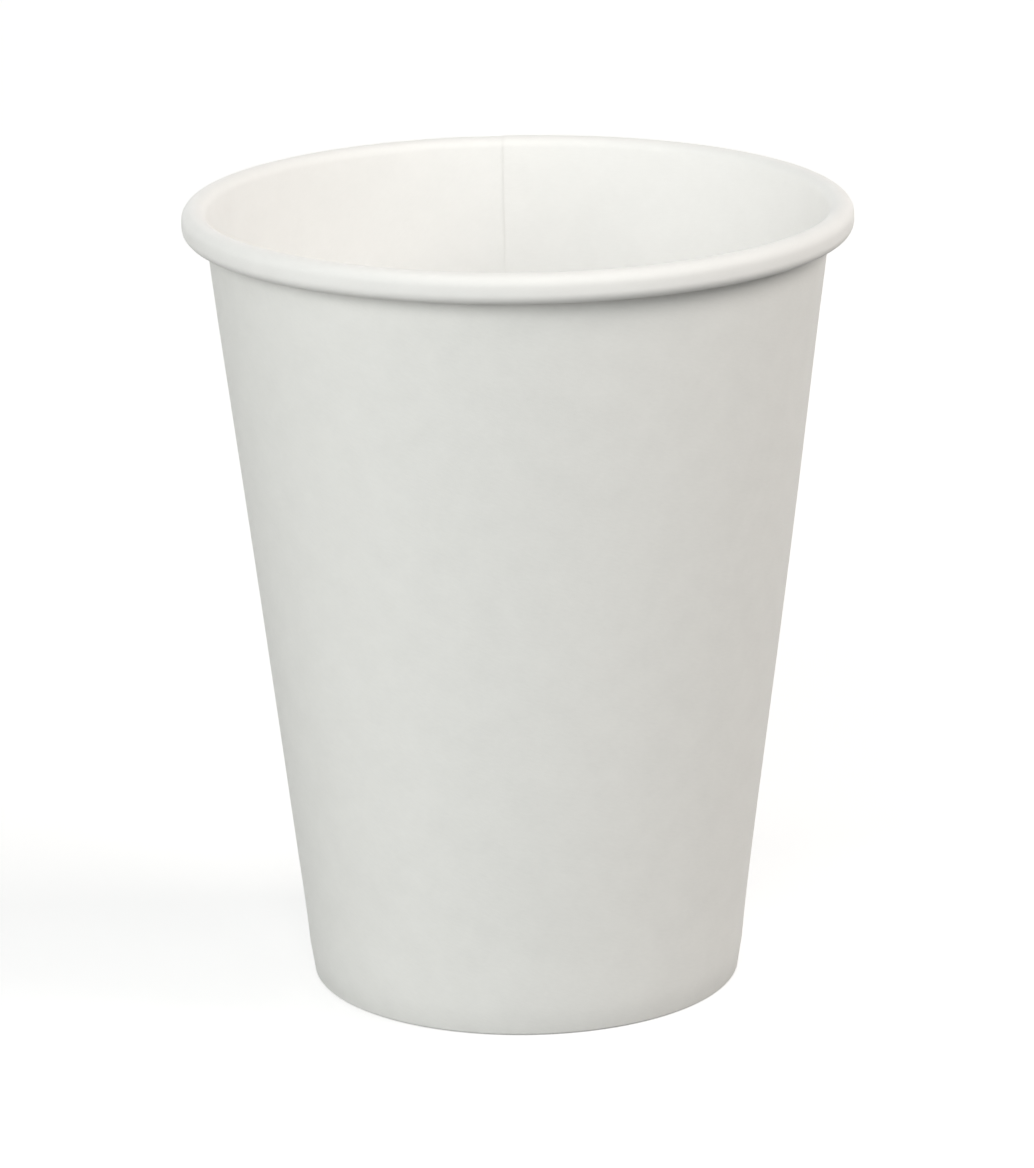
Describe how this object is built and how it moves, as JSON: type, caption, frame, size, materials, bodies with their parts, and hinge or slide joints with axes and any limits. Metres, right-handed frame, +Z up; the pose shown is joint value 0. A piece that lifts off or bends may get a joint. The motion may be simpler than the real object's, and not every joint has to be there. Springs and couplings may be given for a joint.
{
  "type": "paper coffee cup",
  "caption": "Plain paper hot-drink cup: a tapered paperboard wall with a lapped side seam and a rolled rim, closed by a recessed pressed bottom.",
  "frame": {"origin": "centre of the base, on the plane that the cup stands on", "axes": "+Z up the cup's axis to the rim, -Y towards the front as in the picture, +Y towards the back, where the side seam is"},
  "size_m": [0.09, 0.09, 0.108],
  "materials": {
    "sidewall_board": "white board, matte outside, with a thin clear coating on the inside and over the rolled rim",
    "bottom_board": "white board with a thin clear coating on the upper side, matte underneath"
  },
  "bodies": {
    "root": {"sidewall": "sidewall_board", "bottom_disc": "bottom_board"}
  },
  "joints": []
}
